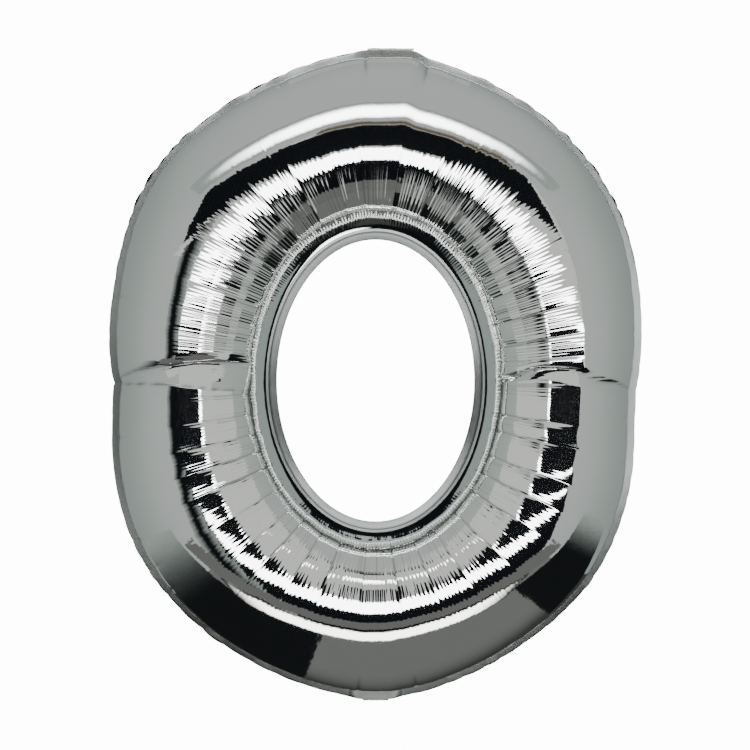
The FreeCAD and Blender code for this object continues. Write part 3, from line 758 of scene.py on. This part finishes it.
def feathered(name, inside, rim, fade, strength, oval=False):
    """An emitter whose rim fades to another colour. fade: share of its size along its first and second side.
    oval: it also tapers to a point at both ends."""
    m, nt, p = new_mat(name)
    tc = nt.nodes.new("ShaderNodeTexCoord")
    sep = nt.nodes.new("ShaderNodeSeparateXYZ")
    nt.links.new(tc.outputs["Generated"], sep.inputs[0])
    value = None
    for axis, share in fade.items():
        c = nt.nodes.new("ShaderNodeMath")
        c.operation = "SUBTRACT"
        nt.links.new(sep.outputs[axis], c.inputs[0])
        c.inputs[1].default_value = 0.5
        ab = nt.nodes.new("ShaderNodeMath")
        ab.operation = "ABSOLUTE"
        nt.links.new(c.outputs[0], ab.inputs[0])
        mr = nt.nodes.new("ShaderNodeMapRange")
        mr.interpolation_type = "SMOOTHSTEP"
        mr.inputs["From Min"].default_value = 0.5
        mr.inputs["From Max"].default_value = 0.5 - share
        nt.links.new(ab.outputs[0], mr.inputs["Value"])
        if value is None:
            value = mr.outputs[0]
        else:
            mu = nt.nodes.new("ShaderNodeMath")
            mu.operation = "MULTIPLY"
            nt.links.new(value, mu.inputs[0])
            nt.links.new(mr.outputs[0], mu.inputs[1])
            value = mu.outputs[0]
    if oval:
        squares = []
        for axis in fade:
            c = nt.nodes.new("ShaderNodeMath")
            c.operation = "SUBTRACT"
            nt.links.new(sep.outputs[axis], c.inputs[0])
            c.inputs[1].default_value = 0.5
            sq = nt.nodes.new("ShaderNodeMath")
            sq.operation = "MULTIPLY"
            nt.links.new(c.outputs[0], sq.inputs[0])
            nt.links.new(c.outputs[0], sq.inputs[1])
            squares.append(sq)
        add = nt.nodes.new("ShaderNodeMath")
        nt.links.new(squares[0].outputs[0], add.inputs[0])
        nt.links.new(squares[1].outputs[0], add.inputs[1])
        mr = nt.nodes.new("ShaderNodeMapRange")
        mr.interpolation_type = "SMOOTHSTEP"
        mr.inputs["From Min"].default_value = 0.25
        mr.inputs["From Max"].default_value = 0.02
        nt.links.new(add.outputs[0], mr.inputs["Value"])
        mu = nt.nodes.new("ShaderNodeMath")
        mu.operation = "MULTIPLY"
        nt.links.new(value, mu.inputs[0])
        nt.links.new(mr.outputs[0], mu.inputs[1])
        value = mu.outputs[0]
    mix = nt.nodes.new("ShaderNodeMix")
    mix.data_type = "RGBA"
    mix.inputs[6].default_value = (*[c / strength for c in rim], 1)
    mix.inputs[7].default_value = (*inside, 1)
    nt.links.new(value, mix.inputs[0])
    nt.links.new(mix.outputs[2], p.inputs["Emission Color"])
    p.inputs["Base Color"].default_value = (0, 0, 0, 1)
    p.inputs["Specular IOR Level"].default_value = 0.0
    p.inputs["Emission Strength"].default_value = strength
    return m


def one_sided(name, inside, rim, start, end):
    """An emitter that fades along its length from one colour at start to another by end."""
    m, nt, p = new_mat(name)
    tc = nt.nodes.new("ShaderNodeTexCoord")
    sep = nt.nodes.new("ShaderNodeSeparateXYZ")
    nt.links.new(tc.outputs["Generated"], sep.inputs[0])
    mr = nt.nodes.new("ShaderNodeMapRange")
    mr.interpolation_type = "SMOOTHSTEP"
    mr.inputs["From Min"].default_value = start
    mr.inputs["From Max"].default_value = end
    nt.links.new(sep.outputs[0], mr.inputs["Value"])
    mix = nt.nodes.new("ShaderNodeMix")
    mix.data_type = "RGBA"
    mix.inputs[6].default_value = (*rim, 1)
    mix.inputs[7].default_value = (*inside, 1)
    nt.links.new(mr.outputs[0], mix.inputs[0])
    nt.links.new(mix.outputs[2], p.inputs["Emission Color"])
    p.inputs["Base Color"].default_value = (0, 0, 0, 1)
    p.inputs["Specular IOR Level"].default_value = 0.0
    p.inputs["Emission Strength"].default_value = 1.0
    return m


WALL = (0.345, 0.385, 0.365)
white = emitter("soft_box", (1.0, 1.0, 1.0), 9.0)
box_mat = feathered("front_soft_box", (1, 1, 1), (0.6, 0.6, 0.6), {0: 0.03, 2: 0.05}, 9.0)
strip_mat = feathered("top_strip", (1, 1, 1), WALL, {0: 0.44, 1: 0.36}, 9.0, oval=True)
cream = feathered("low_soft_box", (1, 0.99, 0.96), (0.02, 0.02, 0.02), {0: 0.22, 2: 0.2}, 6.0)
light = emitter("light_card", (0.70, 0.71, 0.69), 1.0)
black = emitter("dark_cloth", (0.006, 0.007, 0.009), 1.0)
brown_mat = feathered("brown_edge", (0.10, 0.078, 0.060), (0.34, 0.32, 0.29), {2: 0.5}, 1.0)
pale = emitter("pale_card", (0.50, 0.53, 0.51), 1.0)
floor_front = feathered("floor_front_card", (0.165, 0.168, 0.162), (0.165, 0.168, 0.162), {0: 0.20}, 1.0)
floor_back = feathered("floor_back_card", (0.045, 0.048, 0.044), (0.165, 0.168, 0.162), {1: 0.30}, 1.0)
floor_dark_left = one_sided("floor_cloth_left", (0.008, 0.009, 0.010), (0.34, 0.375, 0.355), 0.0, 0.62)
floor_dark_right = one_sided("floor_cloth_right", (0.008, 0.009, 0.010), (0.34, 0.375, 0.355), 1.0, 0.45)
cloth_mat = feathered("cloth_left_card", (0.006, 0.007, 0.009), (0.30, 0.33, 0.31), {0: 0.42}, 1.0)
shade_card = emitter("low_shade_card", (0.150, 0.150, 0.145), 1.0)


def card(name, x0, x1, y0, y1, z0, z1, mat):
    """A rectangle square to an axis: one pair of limits is a single value. Only reflections see it."""
    if y0 == y1:
        c, u, v = ((x0 + x1) / 2, y0, (z0 + z1) / 2), ((x1 - x0) / 2, 0, 0), (0, 0, (z1 - z0) / 2)
    else:
        c, u, v = ((x0 + x1) / 2, (y0 + y1) / 2, z0), ((x1 - x0) / 2, 0, 0), (0, (y1 - y0) / 2, 0)
    o = stage_plane(name, c, u, v, mat)
    o.visible_diffuse = False
    o.visible_shadow = False
    return o


def divider(name, x, y0, y1, z0, z1, mat):
    o = stage_plane(name, (x, (y0 + y1) / 2, (z0 + z1) / 2), (0, (y1 - y0) / 2, 0), (0, 0, (z1 - z0) / 2), mat)
    o.visible_diffuse = False
    o.visible_shadow = False


FLOOR_Z = -1.75
# in front: a softbox low and to the right with dark cloth round it, a grey card above it,
# and a small dark card high and near
card("front_box", -0.50, 1.10, -1.70, -1.70, -0.40, 0.10, box_mat)
card("cloth_left", -1.20, -0.50, -1.72, -1.72, -1.60, 0.55, cloth_mat)
card("cloth_below", -0.52, 1.24, -1.72, -1.72, -1.74, -0.40, black)
card("card_above", -0.50, 1.10, -1.72, -1.72, 0.10, 1.05, light)
card("near_dark", -0.56, 0.46, -0.60, -0.60, 0.245, 0.50, black)
card("near_dark_edge", -0.16, 0.40, -0.60, -0.60, 0.50, 0.575, brown_mat)
card("near_dark_foot", -0.56, 0.46, -0.60, -0.46, 0.242, 0.242, light)
card("low_box", -0.62, 0.62, -0.70, -0.70, -0.88, -0.66, cream)
card("low_left", -0.46, -0.05, -0.60, -0.60, -0.185, 0.030, black)
card("low_right", 0.03, 0.52, -0.60, -0.60, -0.185, 0.030, black)
divider("low_divider", -0.01, -0.60, -0.16, -0.172, 0.004, light)
card("low_shade", -0.7, 0.7, -0.76, -0.47, -0.50, -0.50, shade_card)
card("overhead_strip", -2.7, 2.7, -3.10, -1.50, 2.05, 2.05, strip_mat)
card("floor_front", -1.9, 2.3, -6.0, -0.06, FLOOR_Z, FLOOR_Z, floor_front)
card("floor_back", -1.9, 2.3, -0.06, 7.0, FLOOR_Z, FLOOR_Z, floor_back)
card("floor_left_dark", -3.4, -0.52, -1.90, 3.2, FLOOR_Z + 0.01, FLOOR_Z + 0.01, floor_dark_left)
card("floor_right_dark", 1.42, 4.2, -1.90, 2.6, FLOOR_Z + 0.01, FLOOR_Z + 0.01, floor_dark_right)
# behind: much smaller, so that it shows in the back view and not round the front's rim
card("back_box", 0.02, 0.34, 0.66, 0.66, -0.36, -0.06, cream)
card("back_cloth", -0.50, 0.50, 0.68, 0.68, -0.52, 0.46, black)
card("back_strip", -0.8, 0.8, 1.25, 2.30, 2.05, 2.05, pale)

floor_mat, nt, p = new_mat("pale_floor")
n = add_noise(nt, 0.8, 2.0)
ramp = nt.nodes.new("ShaderNodeValToRGB")
ramp.color_ramp.elements[0].color = (0.86, 0.86, 0.86, 1)
ramp.color_ramp.elements[1].color = (0.90, 0.90, 0.90, 1)
nt.links.new(n.outputs["Fac"], ramp.inputs["Fac"])
nt.links.new(ramp.outputs["Color"], p.inputs["Base Color"])
p.inputs["Roughness"].default_value = 0.85
p.inputs["Emission Color"].default_value = (1, 1, 1, 1)
p.inputs["Emission Strength"].default_value = 5.0
floor = stage_plane("floor", (0, 0, FLOOR_Z), (4.6, 0, 0), (0, 4.6, 0), floor_mat, camera=True)
floor.visible_glossy = False

world = bpy.context.scene.world or bpy.data.worlds.new("world")
bpy.context.scene.world = world
world.use_nodes = True
wt = world.node_tree
for nd in list(wt.nodes):
    wt.nodes.remove(nd)
out = wt.nodes.new("ShaderNodeOutputWorld")
mix = wt.nodes.new("ShaderNodeMixShader")
path = wt.nodes.new("ShaderNodeLightPath")
seen = wt.nodes.new("ShaderNodeBackground")
seen.inputs["Color"].default_value = (1, 1, 1, 1)
seen.inputs["Strength"].default_value = 14.0
room = wt.nodes.new("ShaderNodeBackground")
room.inputs["Color"].default_value = (0.345, 0.385, 0.365, 1)
room.inputs["Strength"].default_value = 1.0
wtc = wt.nodes.new("ShaderNodeTexCoord")
wsep = wt.nodes.new("ShaderNodeSeparateXYZ")
wt.links.new(wtc.outputs["Generated"], wsep.inputs[0])
wramp = wt.nodes.new("ShaderNodeValToRGB")
wmap = wt.nodes.new("ShaderNodeMapRange")
wmap.inputs["From Min"].default_value = -1.0
wmap.inputs["From Max"].default_value = 1.0
wt.links.new(wsep.outputs["Y"], wmap.inputs["Value"])
wt.links.new(wmap.outputs[0], wramp.inputs["Fac"])
while len(wramp.color_ramp.elements) < 4:
    wramp.color_ramp.elements.new(0.5)
for e, (at, c) in zip(wramp.color_ramp.elements, ((0.0, (0.52, 0.53, 0.52)), (0.22, (0.46, 0.485, 0.47)), (0.52, (0.365, 0.405, 0.385)), (1.0, (0.275, 0.315, 0.30)))):
    e.position = at
    e.color = (*c, 1)
wup = wt.nodes.new("ShaderNodeMapRange")
wup.inputs["From Min"].default_value = 0.45
wup.inputs["From Max"].default_value = 1.0
wt.links.new(wsep.outputs["Z"], wup.inputs["Value"])
wmix = wt.nodes.new("ShaderNodeMix")
wmix.data_type = "RGBA"
wmix.inputs[7].default_value = (0.50, 0.515, 0.505, 1)
wt.links.new(wup.outputs[0], wmix.inputs[0])
wt.links.new(wramp.outputs["Color"], wmix.inputs[6])
wt.links.new(wmix.outputs[2], room.inputs["Color"])
wt.links.new(path.outputs["Is Camera Ray"], mix.inputs["Fac"])
wt.links.new(room.outputs[0], mix.inputs[1])
wt.links.new(seen.outputs[0], mix.inputs[2])
wt.links.new(mix.outputs[0], out.inputs["Surface"])


def area(name, pos, target, size, power):
    l = bpy.data.lights.new(name, "AREA")
    l.shape = "SQUARE"
    l.size = size
    l.energy = power
    o = bpy.data.objects.new(name, l)
    o.location = pos
    o.rotation_euler = (Vector(target) - Vector(pos)).to_track_quat("-Z", "Y").to_euler()
    bpy.context.scene.collection.objects.link(o)
    o.visible_camera = False
    o.visible_glossy = False
    return o


area("overhead", (0, -0.6, 4.2), (0, 0, -1), 3.0, 260)
area("overhead_back", (0, 3.0, 3.4), (0, 0, -0.5), 2.5, 90)

cam_data = bpy.data.cameras.new("camera")
cam_data.sensor_width = 36
cam_data.lens = 109.2
cam = bpy.data.objects.new("camera", cam_data)
cam.location = (-0.0007, -3.0, -0.0007)
cam.rotation_euler = (math.pi / 2, 0, 0)
bpy.context.scene.collection.objects.link(cam)
bpy.context.scene.camera = cam

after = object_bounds()


def plain(b):
    if isinstance(b, dict):
        return {k: plain(v) for k, v in b.items()}
    if isinstance(b, (list, tuple)) or hasattr(b, "__len__") and not isinstance(b, str):
        return [plain(v) for v in b]
    return float(b) if not isinstance(b, str) else b


{"cad": plain(before), "visual": plain(after)}
